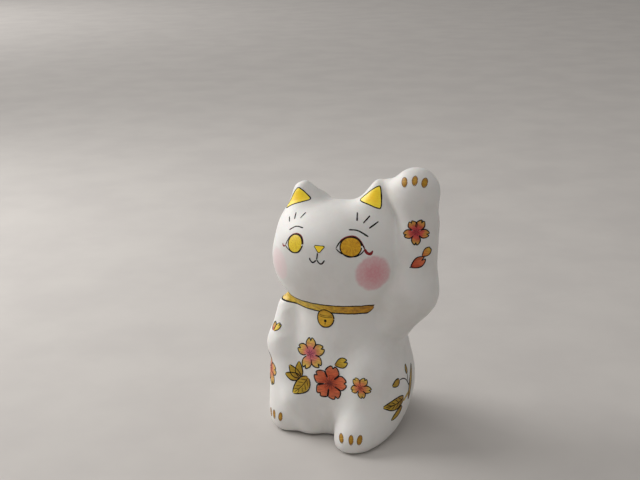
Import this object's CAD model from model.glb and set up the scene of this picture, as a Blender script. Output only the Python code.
import math

import bmesh
import bpy
import numpy as np
from mathutils import Matrix, Vector, noise
from mathutils.bvhtree import BVHTree


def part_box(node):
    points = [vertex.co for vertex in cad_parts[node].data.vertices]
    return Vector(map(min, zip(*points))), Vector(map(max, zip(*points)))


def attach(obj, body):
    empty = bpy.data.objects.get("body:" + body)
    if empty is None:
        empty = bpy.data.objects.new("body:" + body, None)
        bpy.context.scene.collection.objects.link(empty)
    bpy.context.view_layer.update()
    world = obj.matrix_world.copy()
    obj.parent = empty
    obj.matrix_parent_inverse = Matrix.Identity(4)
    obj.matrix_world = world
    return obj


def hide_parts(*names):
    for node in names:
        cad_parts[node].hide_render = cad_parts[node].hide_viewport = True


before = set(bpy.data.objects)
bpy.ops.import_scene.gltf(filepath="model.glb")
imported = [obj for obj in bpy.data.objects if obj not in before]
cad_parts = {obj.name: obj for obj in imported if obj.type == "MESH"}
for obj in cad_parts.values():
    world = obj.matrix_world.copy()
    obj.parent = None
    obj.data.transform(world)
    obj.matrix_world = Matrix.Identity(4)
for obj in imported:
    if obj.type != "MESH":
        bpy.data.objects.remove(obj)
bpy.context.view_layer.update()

# A hand-painted beckoning cat. The casting is remeshed into one soft skin, and every painted motif is a
# thin film or pen line laid on that skin. Lengths below are in millimetres unless a name says metres.
MM = 0.001
FIGURE = "figure"


# ---------------------------------------------------------------- small helpers

def new_object(name, mesh):
    piece = bpy.data.objects.new(name, mesh)
    bpy.context.scene.collection.objects.link(piece)
    return piece


def shade_smooth(mesh):
    mesh.polygons.foreach_set("use_smooth", [True] * len(mesh.polygons))


def spread(first, second, share):
    return first + (second - first) * share


def steps(count):
    """Shares from 0 to 1, both included."""
    return [index / count for index in range(count + 1)]


def turned(x, y, degrees):
    angle = math.radians(degrees)
    return x * math.cos(angle) - y * math.sin(angle), x * math.sin(angle) + y * math.cos(angle)


def grey(level):
    return level, level, level


# ---------------------------------------------------------------- materials

class Nodes:
    """Short calls for building one material's nodes."""

    def __init__(self, name):
        self.material = bpy.data.materials.new(name)
        self.material.use_nodes = True
        self.tree = self.material.node_tree
        self.shader = self.tree.nodes["Principled BSDF"]
        where = self.tree.nodes.new("ShaderNodeTexCoord")
        scale = self.tree.nodes.new("ShaderNodeVectorMath")
        scale.operation = "SCALE"
        scale.inputs["Scale"].default_value = 1 / MM
        self.link(where.outputs["Object"], scale.inputs[0])
        self.place_mm = scale.outputs[0]

    def link(self, source, target):
        self.tree.links.new(source, target)

    def noise(self, scale, detail=3.0, roughness=0.55, vector=None):
        node = self.tree.nodes.new("ShaderNodeTexNoise")
        node.inputs["Scale"].default_value = scale
        node.inputs["Detail"].default_value = detail
        node.inputs["Roughness"].default_value = roughness
        self.link(vector or self.place_mm, node.inputs["Vector"])
        return node.outputs["Fac"]

    def stretched(self, stretch, source=None):
        node = self.tree.nodes.new("ShaderNodeVectorMath")
        node.operation = "MULTIPLY"
        node.inputs[1].default_value = stretch
        self.link(source or self.place_mm, node.inputs[0])
        return node.outputs[0]

    def stored(self, attribute):
        """Vector that the mesh stores at each point."""
        node = self.tree.nodes.new("ShaderNodeAttribute")
        node.attribute_name = attribute
        return node.outputs["Vector"]

    def part_of(self, vector, axis):
        node = self.tree.nodes.new("ShaderNodeSeparateXYZ")
        self.link(vector, node.inputs[0])
        return node.outputs[axis]

    def math(self, operation, first, second=None):
        node = self.tree.nodes.new("ShaderNodeMath")
        node.operation = operation
        for socket, value in zip(node.inputs, (first, second)):
            if value is None:
                continue
            if isinstance(value, (int, float)):
                socket.default_value = value
            else:
                self.link(value, socket)
        return node.outputs[0]

    def ramp(self, factor, stops):
        node = self.tree.nodes.new("ShaderNodeValToRGB")
        node.color_ramp.interpolation = "EASE"
        elements = node.color_ramp.elements
        while len(elements) < len(stops):
            elements.new(0.5)
        for element, (position, colour) in zip(elements, stops):
            element.position = position
            element.color = (*colour, 1)
        self.link(factor, node.inputs[0])
        return node.outputs[0]

    def mix(self, factor, first, second, blend="MIX"):
        node = self.tree.nodes.new("ShaderNodeMix")
        node.data_type = "RGBA"
        node.blend_type = blend
        for socket, value in ((node.inputs[0], factor), (node.inputs[6], first), (node.inputs[7], second)):
            if isinstance(value, tuple):
                socket.default_value = (*value, 1)
            elif isinstance(value, (int, float)):
                socket.default_value = value
            else:
                self.link(value, socket)
        return node.outputs[2]

    def bump(self, height, distance_mm, strength=1.0, below=None):
        node = self.tree.nodes.new("ShaderNodeBump")
        node.inputs["Distance"].default_value = distance_mm * MM
        node.inputs["Strength"].default_value = strength
        self.link(height, node.inputs["Height"])
        if below:
            self.link(below, node.inputs["Normal"])
        return node.outputs[0]

    def finish(self, colour, roughness, normal=None, **sockets):
        self.link(colour, self.shader.inputs["Base Color"])
        if isinstance(roughness, float):
            self.shader.inputs["Roughness"].default_value = roughness
        else:
            self.link(roughness, self.shader.inputs["Roughness"])
        if normal:
            self.link(normal, self.shader.inputs["Normal"])
        for socket, value in sockets.items():
            self.shader.inputs[socket.replace("_", " ")].default_value = value
        return self.material


BISQUE_LIGHT = (0.86, 0.85, 0.83)
BISQUE_SHADE = (0.79, 0.775, 0.75)


def bisque_surface(nodes):
    """Colour, roughness and normal of matt white clay with faint brush marks and pits."""
    patches = nodes.noise(0.07, 4)
    colour = nodes.ramp(patches, [(0.3, BISQUE_SHADE), (0.62, BISQUE_LIGHT)])
    brushed = nodes.noise(0.55, 5, 0.6, nodes.stretched((1.0, 1.0, 0.22)))
    grain = nodes.noise(4.5, 4, 0.65)
    pits = nodes.ramp(nodes.noise(1.3, 2), [(0.24, grey(0)), (0.31, grey(1))])
    normal = nodes.bump(grain, 0.018)
    normal = nodes.bump(brushed, 0.10, 0.8, normal)
    normal = nodes.bump(pits, 0.03, 0.6, normal)
    roughness = nodes.ramp(grain, [(0.3, grey(0.47)), (0.7, grey(0.6))])
    return colour, roughness, normal


def bisque_material():
    nodes = Nodes("bisque")
    colour, roughness, normal = bisque_surface(nodes)
    return nodes.finish(colour, roughness, normal, Subsurface_Weight=0.08, Subsurface_Scale=0.0015,
                        Specular_IOR_Level=0.42)


def blush_material(name, centre, reach, tint):
    """Bisque with pink dabbed on it, fading out before the film's edge."""
    nodes = Nodes(name)
    colour, roughness, normal = bisque_surface(nodes)
    away = nodes.tree.nodes.new("ShaderNodeVectorMath")
    away.operation = "DISTANCE"
    nodes.link(nodes.place_mm, away.inputs[0])
    away.inputs[1].default_value = centre
    ragged = nodes.math("ADD", away.outputs["Value"], nodes.math("MULTIPLY", nodes.noise(0.5, 3), 1.2))
    share = nodes.math("DIVIDE", ragged, reach)
    cover = nodes.ramp(share, [(0.3, grey(1)), (0.78, grey(0.72)), (0.98, grey(0))])
    dabs = nodes.ramp(nodes.noise(1.1, 4), [(0.2, grey(0.72)), (0.7, grey(1))])
    cover = nodes.math("MULTIPLY", cover, dabs)
    return nodes.finish(nodes.mix(cover, colour, tint), roughness, normal, Specular_IOR_Level=0.4)


def paint_material(name, stops, streak=(0.25, 2.2), depth=0.35, glow=0.0):
    """Water-thin acrylic: a colour that changes along the film, with darker pooled streaks."""
    nodes = Nodes(name)
    along = nodes.part_of(nodes.stored("stroke"), 0)
    wander = nodes.math("MULTIPLY", nodes.math("SUBTRACT", nodes.noise(0.9, 4), 0.5), 0.42)
    colour = nodes.ramp(nodes.math("ADD", along, wander), stops)
    streaks = nodes.noise(1.0, 5, 0.62, nodes.stretched((*streak, 1), nodes.stored("on_film")))
    pool = tuple(1 - depth * share for share in (1, 1.12, 1.25))
    colour = nodes.mix(1.0, colour, nodes.ramp(streaks, [(0.34, pool), (0.6, grey(1))]), "MULTIPLY")
    blotches = nodes.ramp(nodes.noise(0.5, 3), [(0.35, grey(1 - depth * 0.4)), (0.6, grey(1))])
    colour = nodes.mix(1.0, colour, blotches, "MULTIPLY")
    normal = nodes.bump(streaks, 0.05, 0.7, nodes.bump(nodes.noise(5, 3), 0.015))
    roughness = nodes.ramp(streaks, [(0.3, grey(0.34)), (0.7, grey(0.52))])
    return nodes.finish(colour, roughness, normal, Specular_IOR_Level=0.5,
                        Emission_Color=(*stops[1][1], 1), Emission_Strength=glow)


def iris_material(name, stops):
    """Gold laid on with small strokes that run out from the middle."""
    nodes = Nodes(name)
    rays = nodes.noise(1.0, 5, 0.65, nodes.stretched((1.4, 9.0, 1), nodes.stored("stroke")))
    flecks = nodes.noise(2.6, 4, 0.7)
    spots = nodes.ramp(flecks, [(0.36, (0.80, 0.66, 0.45)), (0.56, grey(1))])
    colour = nodes.mix(1.0, nodes.ramp(rays, stops), spots, "MULTIPLY")
    normal = nodes.bump(rays, 0.05, 0.8, nodes.bump(flecks, 0.03))
    roughness = nodes.ramp(flecks, [(0.3, grey(0.34)), (0.7, grey(0.5))])
    return nodes.finish(colour, roughness, normal)


def bright_gold(node):
    """Gold with a faint glow of its own."""
    return paint_material(node + "_colour", GOLD, depth=0.14, glow=0.16)


def ink_material(name, dark, thin):
    """Pen line: solid in places and rubbed thin in others."""
    nodes = Nodes(name)
    colour = nodes.ramp(nodes.noise(1.6, 4, 0.7), [(0.36, dark), (0.72, thin)])
    normal = nodes.bump(nodes.noise(6, 3), 0.02)
    roughness = nodes.ramp(nodes.noise(2.5, 2), [(0.3, grey(0.55)), (0.7, grey(0.75))])
    return nodes.finish(colour, roughness, normal, Specular_IOR_Level=0.15)


def rubber_material():
    nodes = Nodes("soft_rubber")
    colour = nodes.ramp(nodes.noise(0.2, 3), [(0.3, (0.66, 0.66, 0.63)), (0.7, (0.76, 0.76, 0.74))])
    normal = nodes.bump(nodes.noise(2.2, 4), 0.03)
    roughness = nodes.ramp(nodes.noise(0.8, 3), [(0.3, grey(0.42)), (0.7, grey(0.56))])
    return nodes.finish(colour, roughness, normal, Subsurface_Weight=0.25, Subsurface_Scale=0.002)


INK = ink_material("black_ink", (0.006, 0.005, 0.005), (0.022, 0.018, 0.015))
SEPIA = ink_material("sepia_ink", (0.10, 0.025, 0.02), (0.30, 0.10, 0.07))
MAROON = ink_material("maroon_paint", (0.22, 0.018, 0.022), (0.42, 0.05, 0.045))
BROWN = ink_material("brown_ink", (0.16, 0.075, 0.012), (0.36, 0.19, 0.03))

# Paints run from a film's root or middle outwards, as shares and colours.
GOLD = [(0.0, (1.0, 0.62, 0.015)), (0.55, (1.0, 0.70, 0.025)), (1.0, (1.0, 0.80, 0.05))]
BELL_GOLD = [(0.0, (0.92, 0.56, 0.03)), (0.7, (0.88, 0.50, 0.02)), (1.0, (0.80, 0.42, 0.015))]
OCHRE = [(0.0, (0.56, 0.30, 0.015)), (0.45, (0.70, 0.44, 0.025)), (1.0, (0.88, 0.62, 0.05))]
BUD_BROWN = [(0.0, (0.44, 0.23, 0.010)), (0.6, (0.60, 0.37, 0.018)), (1.0, (0.74, 0.50, 0.03))]
PINK_TO_GOLD = [(0.10, (0.66, 0.12, 0.22)), (0.36, (0.82, 0.22, 0.20)), (0.6, (0.88, 0.42, 0.12)),
                (0.86, (0.92, 0.62, 0.12))]
CORAL_TO_GOLD = [(0.1, (0.78, 0.12, 0.06)), (0.42, (0.88, 0.26, 0.10)), (0.68, (0.90, 0.48, 0.10)),
                 (0.95, (0.93, 0.66, 0.12))]
RED_TO_GOLD = [(0.1, (0.60, 0.03, 0.07)), (0.45, (0.76, 0.10, 0.07)), (0.7, (0.80, 0.28, 0.06)),
               (0.92, (0.82, 0.46, 0.08))]
EMBER = [(0.1, (0.80, 0.20, 0.04)), (0.5, (0.86, 0.34, 0.05)), (0.9, (0.88, 0.54, 0.06))]
CORAL = [(0.04, (0.30, 0.02, 0.01)), (0.26, (0.66, 0.09, 0.025)), (0.7, (0.82, 0.17, 0.06)),
         (1.0, (0.84, 0.24, 0.09))]
COLLAR_GOLD = [(0.0, (0.88, 0.52, 0.03)), (0.72, (0.94, 0.64, 0.05)), (0.86, (0.80, 0.42, 0.015)),
               (1.0, (0.62, 0.28, 0.01))]
CLAW_GOLD = [(0.0, (0.66, 0.36, 0.012)), (0.6, (0.58, 0.29, 0.01)), (1.0, (0.46, 0.2, 0.008))]
EYE_WHITE = [(0.0, (0.86, 0.86, 0.85)), (1.0, (0.90, 0.90, 0.89))]
LEFT_IRIS = [(0.34, (0.66, 0.30, 0.004)), (0.5, (0.86, 0.46, 0.008)), (0.68, (0.95, 0.58, 0.02))]
RIGHT_IRIS = [(0.34, (0.95, 0.66, 0.015)), (0.5, (0.99, 0.75, 0.03)), (0.68, (1.0, 0.82, 0.06))]


# ---------------------------------------------------------------- the casting

VOXEL = 0.5
SPONGE_PASSES = 12
CREASE_PASSES = 90
LAST_PASSES = 6


def evaluated_mesh(piece):
    depsgraph = bpy.context.evaluated_depsgraph_get()
    return bpy.data.meshes.new_from_object(piece.evaluated_get(depsgraph))


def vectors_of(items, attribute):
    """One vector of each of a mesh's items, as rows."""
    values = np.empty(len(items) * 3)
    items.foreach_get(attribute, values)
    return values.reshape(-1, 3)


def smoothed_places(piece, passes):
    """Vertex places after the given smoothing passes."""
    sponge = piece.modifiers.new("sponge", "SMOOTH")
    sponge.factor = 0.5
    sponge.iterations = passes
    mesh = evaluated_mesh(piece)
    places = vectors_of(mesh.vertices, "co")
    piece.modifiers.remove(sponge)
    bpy.data.meshes.remove(mesh)
    return places


def make_casting():
    """The hollow body as one skin, its sharp creases filled as wet clay is sponged."""
    piece = new_object("casting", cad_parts["body_shell"].data.copy())
    remesh = piece.modifiers.new("one_skin", "REMESH")
    remesh.mode = "VOXEL"
    remesh.voxel_size = VOXEL * MM
    mesh = evaluated_mesh(piece)
    piece.modifiers.clear()
    piece.data = mesh
    outward = vectors_of(mesh.vertex_normals, "vector")
    soft = smoothed_places(piece, SPONGE_PASSES)
    softer = smoothed_places(piece, CREASE_PASSES)
    rise = np.clip(((softer - soft) * outward).sum(1), 0, None)
    mesh.vertices.foreach_set("co", (soft + outward * rise[:, None]).ravel())
    mesh.update()
    mesh.vertices.foreach_set("co", smoothed_places(piece, LAST_PASSES).ravel())
    mesh.update()
    mesh.materials.clear()
    mesh.materials.append(bisque_material())
    shade_smooth(mesh)
    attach(piece, FIGURE)
    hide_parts("body_shell")
    return piece


casting = make_casting()
skin = BVHTree.FromObject(casting, bpy.context.evaluated_depsgraph_get())


# ---------------------------------------------------------------- drawing on the casting

class Canvas:
    """A flat drawing frame laid against the skin at a painted CAD film: x to the right, y up.

    The shift is from the middle of the film's box to the middle of the drawing.
    """
    PATCH = 1.5       # radius over which the skin's direction is averaged
    STANDOFF = 7      # height from which a point is dropped onto the skin
    DROP = 16         # how far it may fall

    def __init__(self, node, shift=(0, 0, 0), outward=None):
        low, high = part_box(node)
        middle = (low + high) / 2 + Vector(shift) * MM
        place, _, _, _ = skin.find_nearest(middle)
        self.centre = place
        self.outward = Vector(outward).normalized() if outward else self.mean_normal(place)
        self.right = Vector((0, 0, 1)).cross(self.outward).normalized()
        self.up = self.outward.cross(self.right)

    def mean_normal(self, place):
        total = Vector()
        for _, normal, _, _ in skin.find_nearest_range(place, self.PATCH * MM):
            total += normal
        return total.normalized()

    def drop(self, x, y, lift):
        """Point of the drawing pressed onto the skin, then lifted off it."""
        flat = self.centre + (self.right * x + self.up * y) * MM
        start = flat + self.outward * self.STANDOFF * MM
        place, normal, _, _ = skin.ray_cast(start, -self.outward, self.DROP * MM)
        if place is None:
            place, normal, _, _ = skin.find_nearest(flat)
        return place + normal * lift * MM


class Film:
    """Thin closed solids of paint or ink, collected into one piece."""
    SUNK = -0.14      # height of the underside over the skin
    RIM = -0.05       # height of the top's edge, which goes under the skin so that no side shows

    def __init__(self):
        self.places, self.faces, self.strokes, self.flats = [], [], [], []

    def sheet(self, canvas, rows):
        """Grid of (x, y, lift, along, across) laid on the skin, with an underside sunk in it."""
        first = len(self.places)
        wide = len(rows[0])
        for sunk in (False, True):
            for i, row in enumerate(rows):
                for j, (x, y, lift, along, across) in enumerate(row):
                    on_rim = i in (0, len(rows) - 1) or j in (0, wide - 1)
                    height = self.SUNK if sunk else self.RIM if on_rim else lift
                    self.places.append(canvas.drop(x, y, height))
                    self.strokes.append((along, across, 0))
                    self.flats.append((x, y, 0))
        self.close(first, len(rows), wide)

    def close(self, first, tall, wide):
        """Faces of the top, the underside and the rim of a grid."""
        below = tall * wide
        for i in range(tall - 1):
            for j in range(wide - 1):
                a = first + i * wide + j
                self.faces.append((a, a + 1, a + wide + 1, a + wide))
                self.faces.append((a + below, a + below + wide, a + below + wide + 1, a + below + 1))
        rim = ([(0, j) for j in range(wide)] + [(i, wide - 1) for i in range(1, tall)]
               + [(tall - 1, j) for j in range(wide - 2, -1, -1)] + [(i, 0) for i in range(tall - 2, 0, -1)])
        corners = [first + i * wide + j for i, j in rim]
        for a, b in zip(corners, corners[1:] + corners[:1]):
            self.faces.append((a, a + below, b + below, b))

    def make(self, name, material, slot, *nodes):
        mesh = bpy.data.meshes.new(name)
        mesh.from_pydata(self.places, [], self.faces)
        for attribute, values in (("stroke", self.strokes), ("on_film", self.flats)):
            layer = mesh.attributes.new(attribute, "FLOAT_VECTOR", "POINT")
            layer.data.foreach_set("vector", [value for row in values for value in row])
        shape = bmesh.new()
        shape.from_mesh(mesh)
        bmesh.ops.recalc_face_normals(shape, faces=shape.faces)
        shape.to_mesh(mesh)
        shape.free()
        shade_smooth(mesh)
        mesh.materials.append(material)
        piece = new_object(name, mesh)
        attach(piece, FIGURE)
        if nodes:
            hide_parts(*nodes)


FILL_LIFT = 0.05
INK_LIFT = 0.10
PEN_PROFILE = (-1.25, -0.8, 0, 0.8, 1.25)     # places across a line, in half widths
PRESS = 0.98                                  # mean pressure of the pen


def disc(film, canvas, outline, x=0.0, y=0.0, count=18, lift=FILL_LIFT, rim_along=1.0):
    """Filled shape whose outline is a distance for each turn; along runs from its middle outwards."""
    rows = []
    for v in steps(count):
        row = []
        for u in steps(count):
            a, b = 2 * u - 1, 2 * v - 1
            flat_x, flat_y = a * math.sqrt(1 - b * b / 2), b * math.sqrt(1 - a * a / 2)
            turn = math.atan2(flat_y, flat_x)
            reach = outline(turn)
            share = math.hypot(flat_x, flat_y)
            row.append((x + flat_x * reach, y + flat_y * reach, lift, share * rim_along, turn / math.pi))
        rows.append(row)
    film.sheet(canvas, rows)


def smooth_path(points, closed=False, step=0.3):
    """Evenly close points on a smooth curve through a few given ones."""
    count = len(points)
    spans = count if closed else count - 1
    path = []
    for index in range(spans):
        if closed:
            p0, p1, p2, p3 = (points[(index + shift) % count] for shift in (-1, 0, 1, 2))
        else:
            p1, p2 = points[index], points[index + 1]
            p0 = points[index - 1] if index else (2 * p1[0] - p2[0], 2 * p1[1] - p2[1])
            p3 = points[index + 2] if index + 2 < count else (2 * p2[0] - p1[0], 2 * p2[1] - p1[1])
        pieces = max(2, round(math.dist(p1, p2) / step))
        for piece in range(pieces):
            t = piece / pieces
            path.append(tuple(
                0.5 * (2 * b + (c - a) * t + (2 * a - 5 * b + 4 * c - d) * t * t
                       + (3 * b - a - 3 * c + d) * t ** 3)
                for a, b, c, d in zip(p0, p1, p2, p3)))
    path.append(points[0] if closed else points[-1])
    return path


def pen(film, canvas, path, width, taper=0.35, lift=INK_LIFT):
    """Pen line of hand-drawn width along a dense path; its middle stands a little proud."""
    rows = []
    last = len(path) - 1
    for index, (x, y) in enumerate(path):
        before, after = path[max(index - 1, 0)], path[min(index + 1, last)]
        dx, dy = after[0] - before[0], after[1] - before[1]
        length = math.hypot(dx, dy) or 1
        share = index / last
        press = PRESS + 0.32 * noise.noise(Vector((x * 0.9, y * 0.9, 7.3 + width)))
        end = min(share, 1 - share) * last * 0.3
        half = width / 2 * press * min(1, taper + end)
        sway = 0.05 * noise.noise(Vector((x * 0.7, y * 0.7, 2.1)))
        row = []
        for side in PEN_PROFILE:
            shift = half * side + sway
            row.append((x - dy / length * shift, y + dx / length * shift, lift, share, side))
        rows.append(row)
    film.sheet(canvas, rows)


# ---------------------------------------------------------------- petals, leaves and blossoms

class Petal:
    """Cherry petal from its root outwards, with a notch in its tip.

    Its neighbours leave it a wedge whose half angle is crowd degrees.
    """

    def __init__(self, root, degrees, length, half_width, notch=0.2, crowd=36):
        self.root, self.degrees = root, degrees
        self.length, self.half_width, self.notch = length, half_width, notch
        self.crowd = math.tan(math.radians(crowd)) * 0.95

    def point(self, along, across):
        """Place on the petal: along 0 to 1 from the root, across -1 to 1."""
        swell = math.sin(math.pi * 0.87 * along ** 1.15) ** 0.9
        half = min(self.half_width * swell, self.crowd * along * self.length) + 0.02
        valley = max(0, 1 - abs(across) / 0.45) + 0.22 * max(0, abs(across) - 0.6)
        reach = self.length * (1 - self.notch * valley * along ** 4)
        x, y = turned(along * reach, across * half, self.degrees)
        return self.root[0] + x, self.root[1] + y

    def fill(self, film, canvas, start=0.08, rows=14, columns=10):
        grid = []
        for share in steps(rows):
            along = spread(start, 1, share)
            grid.append([(*self.point(along, across * 2 - 1), FILL_LIFT, along, across * 2 - 1)
                         for across in steps(columns)])
        film.sheet(canvas, grid)

    def outline(self, film, canvas, width, start=0.26):
        side = [self.point(spread(start, 1, share), -1) for share in steps(14)]
        tip = [self.point(1, across * 2 - 1) for across in steps(12)][1:-1]
        other = [self.point(spread(1, start, share), 1) for share in steps(14)]
        pen(film, canvas, side + tip + other, width)


class Leaf(Petal):
    """Pointed leaf from its root to its tip."""

    def point(self, along, across):
        half = self.half_width * math.sin(math.pi * along ** 0.8) ** 0.85 + 0.02
        bend = 0.06 * self.length * math.sin(math.pi * along)
        x, y = turned(along * self.length, across * half + bend, self.degrees)
        return self.root[0] + x, self.root[1] + y

    def outline(self, film, canvas, width, start=0.0):
        for side in (-1, 1):
            pen(film, canvas, [self.point(spread(start, 1, share), side) for share in steps(16)], width)

    def veins(self, film, canvas, width, pairs=4):
        pen(film, canvas, [self.point(share * 0.94, 0) for share in steps(14)], width)
        for index in range(pairs):
            root = spread(0.14, 0.66, index / max(pairs - 1, 1))
            for side in (-1, 1):
                path = [self.point(root + 0.2 * share, side * 0.86 * share) for share in steps(6)]
                pen(film, canvas, path, width * 0.75)


def blossom(name, radius, turns, stops, outline=0.42, half_width=0.36, notch=0.2, stamens=7,
            reach_of_stamens=0.3, centre=(0, 0), shift=(0, 0, 0)):
    """Five-petalled cherry blossom in paint and ink."""
    canvas = Canvas(name, shift)
    paint, ink, threads = Film(), Film(), Film()
    disc(paint, canvas, lambda turn: radius * 0.36, *centre, 10, FILL_LIFT, 0.36)
    for index, turn in enumerate(turns):
        jitter = 0.1 * noise.noise(Vector((radius, index * 1.7, turn)))
        petal = Petal(centre, turn, radius * (1 + jitter), radius * half_width * (1 - jitter), notch)
        petal.fill(paint, canvas)
        petal.outline(ink, canvas, outline)
    for index in range(stamens):
        angle = turns[0] + 22 + 360 / stamens * index
        reach = radius * reach_of_stamens * (1 + 0.4 * noise.noise(Vector((index * 2.3, radius, 0))))
        path = []
        for share in steps(6):
            x, y = turned(reach * share, 0.12 * math.sin(3 * share), angle)
            path.append((centre[0] + x, centre[1] + y))
        pen(threads, canvas, path, 0.2)
        disc(threads, canvas, lambda turn: 0.17, *path[-1], 4, INK_LIFT)
    paint.make(name + "_paint", paint_material(name + "_colour", stops), "blossom_paint", name)
    ink.make(name + "_outline", INK, "ink")
    threads.make(name + "_stamens", SEPIA, "ink")


def paint_blossoms():
    blossom("chest_blossom", 6.1, (96, 166, 250, 318, 30), PINK_TO_GOLD, 0.4)
    blossom("belly_blossom", 6.6, (5, 79, 152, 228, 293), CORAL, 0.44, 0.43, 0.15, 11, 0.42, (0, -0.5))
    blossom("thigh_blossom", 4.0, (62, 130, 202, 284, 350), CORAL_TO_GOLD, 0.32)
    blossom("hip_blossom", 6.9, (84, 156, 228, 300, 12), CORAL_TO_GOLD, 0.4, shift=(0, -3.2, 0))
    blossom("arm_blossom", 4.6, (60, 118, 198, 268, 346), RED_TO_GOLD, 0.38)


def paint_belly_petal():
    canvas = Canvas("belly_petal")
    paint, ink = Film(), Film()
    petal = Petal((-2.5, -1.2), 22, 5.3, 1.9, 0.26, 70)
    petal.fill(paint, canvas, 0.02)
    petal.outline(ink, canvas, 0.36, 0.0)
    paint.make("belly_petal_paint", paint_material("belly_petal_colour", OCHRE), "blossom_paint",
               "belly_petal")
    ink.make("belly_petal_outline", INK, "ink")


def paint_petals(node, shift, petals, width, fill_start, ink_start, stalk=()):
    """Loose petals, each in its own paint, under one ink drawing, which is given back."""
    canvas = Canvas(node, shift)
    ink = Film()
    for label, petal, stops in petals:
        paint = Film()
        petal.fill(paint, canvas, fill_start)
        petal.outline(ink, canvas, width, ink_start)
        paint.make(label, paint_material(label + "_colour", stops), "blossom_paint")
    if stalk:
        pen(ink, canvas, stalk, 0.6)
    return ink


def paint_shoulder_petals():
    ink = paint_petals("shoulder_petal", (-1.2, 0, 0),
                       [("shoulder_coral", Petal((-0.2, -1.9), 112, 4.0, 1.2, 0.22, 50), CORAL_TO_GOLD),
                        ("shoulder_gold", Petal((0.0, -1.9), 62, 4.4, 1.2, 0.22, 50), GOLD)],
                       0.34, 0.05, 0.1)
    ink.make("shoulder_outline", INK, "ink", "shoulder_petal")


def paint_arm_petals():
    ink = paint_petals("arm_petals", (0.1, 0.4, 0.4),
                       [("arm_petals_lower", Petal((-4.4, -4.0), 32, 6.2, 1.9, 0.24, 70), CORAL),
                        ("arm_petals_upper", Petal((-0.2, 0.0), 38, 4.4, 1.5, 0.06, 70), EMBER)],
                       0.4, 0.02, 0.0, [(-4.9, -4.1), (-4.3, -3.9), (-3.7, -3.6)])
    ink.make("arm_petals_outline", INK, "ink", "arm_petals")


VEINED = 2      # a leaf of a greater half width has its veins drawn


def paint_foliage(node, canvas, leaves, stops, outline, vein=0.3, twigs=(), stem=()):
    """Outlined leaves in one paint, with the twigs and the stem that hold them."""
    paint, ink, veins = Film(), Film(), Film()
    for root, degrees, length, half_width in leaves:
        leaf = Leaf(root, degrees, length, half_width)
        leaf.fill(paint, canvas, 0.0)
        leaf.outline(ink, canvas, outline)
        if half_width > VEINED:
            leaf.veins(veins, canvas, vein)
    for points, width in twigs:
        pen(ink, canvas, smooth_path(points), width)
    if stem:
        pen(paint, canvas, smooth_path(stem), 1.3, 0.5, FILL_LIFT)
    paint.make(node + "_paint", paint_material(node + "_colour", stops), "leaf_paint", node)
    ink.make(node + "_outline", INK, "ink")
    if veins.places:
        veins.make(node + "_veins", INK, "ink")


def paint_leaves():
    paint_foliage("broad_leaf", Canvas("broad_leaf"), [((2.9, 3.2), 228, 8.8, 2.9)], OCHRE, 0.42)
    lobes = [((2.7, -2.3), degrees, length, 1.5) for degrees, length in ((100, 6.4), (170, 6.6), (138, 6.8))]
    paint_foliage("bud_leaf", Canvas("bud_leaf"), lobes, BUD_BROWN, 0.38)


def paint_side_twig():
    leaves = [((0.2, 6.2), 198, 4.6, 1.3), ((6.7, 6.0), 93, 4.0, 0.8), ((3.0, -2.0), 183, 11.7, 2.4),
              ((1.9, -5.0), 213, 7.8, 1.3), ((7.4, -5.3), 66, 14.4, 1.3)]
    twigs = [([(0.0, 5.9), (2.8, 5.6), (5.4, 4.0), (7.6, 1.0)], 0.42),
             ([(6.7, 6.2), (6.7, 3.0)], 0.36)]
    stem = [(9.6, 1.4), (7.4, -1.6), (4.6, -2.6), (2.6, -3.6)]
    paint_foliage("side_twig", Canvas("side_twig", (1.3, -2.3, 0.1), (0.95, -0.3, 0)), leaves, BUD_BROWN,
                  0.46, 0.42, twigs, stem)


# ---------------------------------------------------------------- face

def oval(half_width, half_height, power=2.0):
    """Outline of an ellipse, as its distance from the middle at a turn."""
    def outline(turn):
        return ((abs(math.cos(turn)) / half_width) ** power
                + (abs(math.sin(turn)) / half_height) ** power) ** (-1 / power)
    return outline


def ring_path(outline, x=0.0, y=0.0, count=48):
    path = []
    for share in steps(count):
        turn = 2 * math.pi * share
        path.append((x + outline(turn) * math.cos(turn), y + outline(turn) * math.sin(turn)))
    return path


EYE_WHITE_LIFT = 0.025
IRIS_LIFT = 0.06
LID_LIFT = 0.08
CURL_LIFT = 0.085


def paint_eye(node, iris, iris_stops, upper, lower, lid_width, curl, curl_width):
    """Gold iris in an almond outline, with a maroon upper lid that ends in a curl."""
    canvas = Canvas(node)
    white, gold, ink, lid = Film(), Film(), Film(), Film()
    top, bottom = smooth_path(upper), smooth_path(lower)
    rows = []
    for share in steps(22):
        high_x, high_y = top[round(share * (len(top) - 1))]
        low_x, low_y = bottom[round(share * (len(bottom) - 1))]
        rows.append([(spread(low_x, high_x, rise), spread(low_y, high_y, rise), EYE_WHITE_LIFT, share, rise)
                     for rise in steps(10)])
    white.sheet(canvas, rows)
    half_width, half_height, *middle = iris
    rim = oval(half_width, half_height)
    disc(gold, canvas, rim, *middle, 22, IRIS_LIFT)
    pen(ink, canvas, ring_path(rim, *middle), 0.44, 1)
    pen(ink, canvas, bottom, 0.42)
    pen(ink, canvas, top, 0.46)
    pen(lid, canvas, [(x, y + 0.2) for x, y in top[len(top) // 5:]], lid_width, lift=LID_LIFT)
    pen(lid, canvas, smooth_path(curl), curl_width, 0.25, CURL_LIFT)
    white.make(node + "_white", paint_material(node + "_white_colour", EYE_WHITE, depth=0.06), "bisque")
    gold.make(node + "_iris", iris_material(node + "_colour", iris_stops), "gold_paint", node)
    ink.make(node + "_outline", INK, "ink")
    lid.make(node + "_lid", MAROON, "ink")


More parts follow.
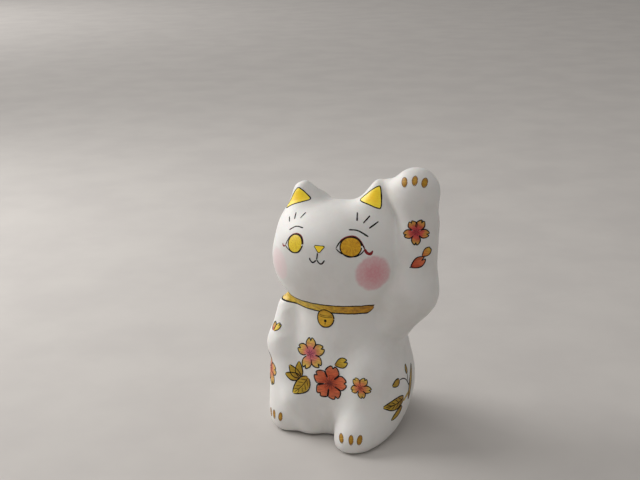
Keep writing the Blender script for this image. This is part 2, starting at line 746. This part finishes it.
def paint_eyes():
    paint_eye("left_eye", (3.9, 3.6, 0.1, 0.1), LEFT_IRIS,
              [(-5.4, -0.2), (-3.4, 2.4), (-0.3, 3.8), (2.9, 2.9), (5.2, -0.9)],
              [(-5.4, -0.2), (-3.2, -2.2), (0.4, -3.4), (3.2, -2.8), (5.2, -0.9)],
              0.6, [(4.9, -0.5), (5.9, -2.1), (7.2, -2.5), (8.2, -1.3)], 0.95)
    paint_eye("right_eye", (3.5, 3.4, 0.1, 0.0), RIGHT_IRIS,
              [(-4.9, -1.5), (-3.2, 1.9), (-0.6, 3.5), (2.6, 2.8), (4.1, 0.2)],
              [(-4.9, -1.5), (-3.1, -2.6), (-0.2, -3.4), (2.7, -2.5), (4.1, 0.2)],
              0.45, [(-4.8, -1.4), (-5.7, -2.0), (-6.5, -1.6), (-6.7, -0.8)], 0.5)


def paint_brows():
    """A brow above each eye and three lashes above the brow."""
    strokes = {
        "left_brow": ((-1.5, -2.2, -1.7), [[(-3.3, 0.8), (0, 0.1), (3.7, -2.5)], [(0.9, 8.1), (0.2, 4.1)],
                                           [(5.2, 5.8), (2.3, 2.9)], [(8.1, 3.3), (4.2, 0.7)]], 0.54),
        "right_brow": ((0.9, -2.2, -1.2), [[(-2.9, -2.1), (0, 0), (3.7, 0.3)], [(-7.0, 3.1), (-5.2, 1.0)],
                                           [(-5.0, 5.5), (-3.3, 2.5)], [(-0.6, 6.8), (-0.8, 3.5)]], 0.48),
    }
    for node, (shift, lines, width) in strokes.items():
        canvas = Canvas(node, shift)
        ink = Film()
        for line in lines:
            pen(ink, canvas, smooth_path(line), width, 0.5)
        ink.make(node + "_ink", INK, "ink", node)


def paint_nose():
    canvas = Canvas("nose")
    gold, ink = Film(), Film()
    edge = smooth_path([(-1.9, 0.9), (0, 1.05), (1.9, 0.9), (1.2, -0.3), (0, -1.5), (-1.2, -0.3)], True, 0.2)
    reach = {math.atan2(y, x): math.hypot(x, y) for x, y in edge}
    angles = sorted(reach)

    def outline(turn):
        return reach[min(angles, key=lambda angle: abs(math.remainder(angle - turn, 2 * math.pi)))]
    disc(gold, canvas, outline)
    pen(ink, canvas, edge, 0.3, 1)
    gold.make("nose_paint", bright_gold("nose"), "gold_paint", "nose")
    ink.make("nose_outline", INK, "ink")


def paint_mouth():
    canvas = Canvas("mouth")
    ink = Film()
    for line in ([(-0.1, 2.3), (-0.15, 0.9), (-0.4, -0.4)],
                 [(-3.3, 0.2), (-2.9, -0.9), (-1.8, -1.5), (-0.5, -0.5)],
                 [(-0.4, -0.3), (0.5, -1.4), (1.6, -1.7), (2.8, -0.2)]):
        pen(ink, canvas, smooth_path(line), 0.52, 0.5)
    ink.make("mouth_ink", INK, "ink", "mouth")


def paint_blushes():
    for node, reach, tint in (("left_blush", 8.2, (0.76, 0.34, 0.38)),
                              ("right_blush", 7.6, (0.86, 0.70, 0.71))):
        canvas = Canvas(node)
        film = Film()
        disc(film, canvas, oval(reach, reach), count=30, lift=0.02)
        centre = tuple(canvas.centre / MM)
        film.make(node + "_paint", blush_material(node + "_colour", centre, reach, tint), "blush_paint", node)


def fan_fill(film, canvas, edge):
    """Fills a rounded outline by drawing it in towards its middle."""
    middle = (sum(x for x, _ in edge) / len(edge), sum(y for _, y in edge) / len(edge))
    reach = {}
    for x, y in edge:
        reach[math.atan2(y - middle[1], x - middle[0])] = math.hypot(x - middle[0], y - middle[1])
    angles = sorted(reach)

    def outline(turn):
        above = next((angle for angle in angles if angle >= turn), angles[0] + 2 * math.pi)
        below = next((angle for angle in reversed(angles) if angle < turn), angles[-1] - 2 * math.pi)
        share = (turn - below) / (above - below)
        first = reach[below if below in reach else angles[-1]]
        second = reach[above if above in reach else angles[0]]
        return spread(first, second, share)
    disc(film, canvas, outline, *middle, 20)


def paint_ear_linings():
    shapes = {
        "left_ear_lining": ((0.5, 0.7, -0.9), [(-5.4, -0.5), (-2.4, 2.3), (1.2, 4.5), (2.3, 4.3), (3.0, 0.5),
                                               (3.2, -2.8), (2.4, -3.5), (-1.4, -2.4)], 0.42),
        "right_ear_lining": ((0.4, 0.7, -0.3), [(-5.2, -3.9), (-3.2, 0.6), (-1.2, 3.8), (0.2, 3.9),
                                                (2.6, 2.6), (4.6, 0.8), (2.2, -1.0), (-1.6, -2.6)], 0.38),
    }
    for node, (shift, corners, width) in shapes.items():
        canvas = Canvas(node, shift)
        gold, ink = Film(), Film()
        edge = smooth_path(corners, True, 0.25)
        fan_fill(gold, canvas, edge)
        pen(ink, canvas, edge, width, 1)
        gold.make(node + "_paint", bright_gold(node), "gold_paint", node)
        ink.make(node + "_outline", INK, "ink")


# ---------------------------------------------------------------- collar, bell and claws

NECK = Vector((-4.2, -0.7, 0)) * MM     # a point on the neck's upright axis
NECK_REACH = 45                   # further out than any of the neck
COLLAR_TURNS = (-235.0, 57.5)
COLLAR_STEPS = 150
COLLAR_END = 9                    # degrees over which its left end is rounded off
COLLAR_INK = 0.095                # half width of its edge lines, as a share of the band's height


def neck_point(degrees, height, lift):
    """Point on the neck at a turn from straight ahead towards the cat's left."""
    angle = math.radians(degrees)
    ray = Vector((math.sin(angle), -math.cos(angle), 0))
    start = NECK + Vector((0, 0, height)) + ray * NECK_REACH * MM
    place, normal, _, _ = skin.ray_cast(start, -ray, NECK_REACH * MM)
    return place + normal * lift * MM


class NeckBand:
    """Drawing frame wrapped round the neck: x is the turn in degrees, y the height share."""

    def __init__(self):
        low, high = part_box("collar_band")
        self.low, self.high = low.z, high.z

    def drop(self, x, y, lift):
        return neck_point(x, spread(self.low, self.high, y), lift)


def band_edge(turn, upper):
    """Height share of the band's edge, with the end rounded off and a hand-drawn waver."""
    end = max(0.0, 1 - (COLLAR_TURNS[1] - turn) / COLLAR_END)
    waver = 0.05 * noise.noise(Vector((turn * 0.13, 3.0 if upper else 9.0, 0)))
    return (1 - 0.12 * end if upper else 0.62 * end * end) + waver


def paint_collar():
    canvas = NeckBand()
    gold, ink = Film(), Film()
    rows = []
    for share in steps(COLLAR_STEPS):
        turn = spread(*COLLAR_TURNS, share)
        low, high = band_edge(turn, False), band_edge(turn, True)
        rows.append([(turn, spread(low, high, rise), FILL_LIFT, share, rise) for rise in steps(8)])
    gold.sheet(canvas, rows)
    for upper in (False, True):
        lines = []
        for share in steps(COLLAR_STEPS):
            turn = spread(*COLLAR_TURNS, share)
            edge = band_edge(turn, upper)
            half = COLLAR_INK * (1 + 0.4 * noise.noise(Vector((turn * 0.3, 5.0 if upper else 1.0, 0))))
            lines.append([(turn, edge + half * side, INK_LIFT if abs(side) < 1 else 0.03, share, side)
                          for side in (-1, -0.4, 0.4, 1)])
        ink.sheet(canvas, lines)
    paint = paint_material("collar_colour", COLLAR_GOLD, (0.12, 5.0), 0.4)
    gold.make("collar_paint", paint, "gold_paint", "collar_band")
    ink.make("collar_outline", INK, "ink")


BELL_LIFT = 0.12
BELL_LINE_LIFT = 0.17
BELL_HOLE_LIFT = 0.19


def paint_bell():
    """Round bell with a seam across it, a sound hole and a short slit below."""
    canvas = Canvas("bell", (0, 0.4, 0.9))
    gold, ink = Film(), Film()
    radius = 3.4
    rim = oval(radius, radius)
    disc(gold, canvas, rim, lift=BELL_LIFT)
    pen(ink, canvas, ring_path(rim, count=60), 0.42, 1, BELL_LINE_LIFT)
    for height in (1.35, 0.75):
        half = math.sqrt(radius ** 2 - (height + 0.1) ** 2) - 0.2
        seam = [(spread(-half, half, share), height - 0.35 * (1 - (2 * share - 1) ** 2))
                for share in steps(14)]
        pen(ink, canvas, seam, 0.2, 0.7, BELL_LINE_LIFT)
    disc(ink, canvas, oval(0.62, 0.62), 0, -0.95, 8, BELL_HOLE_LIFT)
    pen(ink, canvas, [(0, spread(-1.2, -2.6, share)) for share in steps(8)], 0.26, 0.8, BELL_LINE_LIFT)
    gold.make("bell_paint", paint_material("bell_colour", BELL_GOLD, depth=0.2), "gold_paint", "bell")
    ink.make("bell_outline", INK, "ink")


CLAW_INK_LIFT = 0.075


def tilted(outline, degrees):
    return lambda turn: outline(turn - math.radians(degrees))


def paint_claws():
    rows = {
        "raised_paw_claws": ([(-3.7, 0.0, 8), (0.1, 0.3, -2), (3.6, -0.1, -10)], 1.0, 2.0),
        "left_foot_claws": ([(-3.6, 0.3, 14), (0.3, 0.0, 2), (3.4, 0.2, -8)], 0.85, 1.9),
        "right_foot_claws": ([(-3.9, -0.3, 14), (-0.7, 0.0, 10), (3.0, 0.2, 0)], 0.85, 1.8),
    }
    for node, (claws, half_width, half_height) in rows.items():
        canvas = Canvas(node)
        gold, ink = Film(), Film()
        for x, y, tilt in claws:
            claw = tilted(oval(half_width, half_height, 1.8), tilt)
            disc(gold, canvas, claw, x, y, 10)
            pen(ink, canvas, ring_path(claw, x, y, 28), 0.2, 1, CLAW_INK_LIFT)
        gold.make(node + "_paint", paint_material(node + "_colour", CLAW_GOLD), "gold_paint", node)
        ink.make(node + "_outline", BROWN, "ink")


paint_blossoms()
paint_belly_petal()
paint_shoulder_petals()
paint_arm_petals()
paint_leaves()
paint_side_twig()
paint_eyes()
paint_brows()
paint_nose()
paint_mouth()
paint_blushes()
paint_ear_linings()
paint_collar()
paint_bell()
paint_claws()

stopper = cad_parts["base_stopper"]
stopper.data.materials.clear()
stopper.data.materials.append(rubber_material())


# ---------------------------------------------------------------- floor, light and camera

# Lengths in this section are in metres.
FLOOR_HALF = 3.0


def make_floor():
    mesh = bpy.data.meshes.new("floor")
    half = FLOOR_HALF
    mesh.from_pydata([(-half, -half, 0), (half, -half, 0), (half, half, 0), (-half, half, 0)], [],
                     [(0, 1, 2, 3)])
    nodes = Nodes("pale_floor")
    colour = nodes.ramp(nodes.noise(0.02, 4), [(0.3, (0.56, 0.535, 0.515)), (0.7, (0.60, 0.575, 0.55))])
    mesh.materials.append(nodes.finish(colour, 0.9))
    new_object("floor", mesh)


def area_light(name, place, aim, size, power, colour):
    light = bpy.data.lights.new(name, "AREA")
    light.shape = "DISK"
    light.size = size
    light.energy = power
    light.color = colour
    lamp = bpy.data.objects.new(name, light)
    bpy.context.scene.collection.objects.link(lamp)
    lamp.location = place
    lamp.rotation_euler = (Vector(aim) - Vector(place)).to_track_quat("-Z", "Y").to_euler()


def make_lights():
    """A bright window to the left, a dim ceiling, a second window on the floor behind, and the room."""
    middle = (0, 0, 0.05)
    area_light("window", (-0.60, 0.02, 0.42), middle, 0.40, 2.75, (1.0, 0.985, 0.965))
    area_light("ceiling", (-0.10, -0.25, 0.90), middle, 0.9, 1.35, (1.0, 0.98, 0.96))
    area_light("far_window", (-1.9, 1.1, 0.9), (-0.6, 1.3, 0), 1.2, 15.0, (1.0, 0.985, 0.97))
    world = bpy.data.worlds.new("studio")
    world.use_nodes = True
    background = world.node_tree.nodes["Background"]
    background.inputs["Color"].default_value = (1.0, 0.972, 0.942, 1)
    background.inputs["Strength"].default_value = 0.32
    bpy.context.scene.world = world


def make_camera():
    """Stands in front and to the cat's left, looking down at it."""
    place = Vector((0.1437, -0.3773, 0.1955))
    aim = Vector((-0.0156, 0.0048, 0.0715))
    roll = math.radians(-1.712)
    camera = bpy.data.cameras.new("camera")
    camera.sensor_width = 36
    camera.lens = 62.145
    camera.clip_start = 0.01
    holder = bpy.data.objects.new("camera", camera)
    bpy.context.scene.collection.objects.link(holder)
    look = (aim - place).to_track_quat("-Z", "Y").to_matrix().to_4x4()
    holder.matrix_world = Matrix.Translation(place) @ look @ Matrix.Rotation(roll, 4, "Z")
    bpy.context.scene.camera = holder


make_floor()
make_lights()
make_camera()
bpy.context.scene.view_settings.view_transform = "Standard"
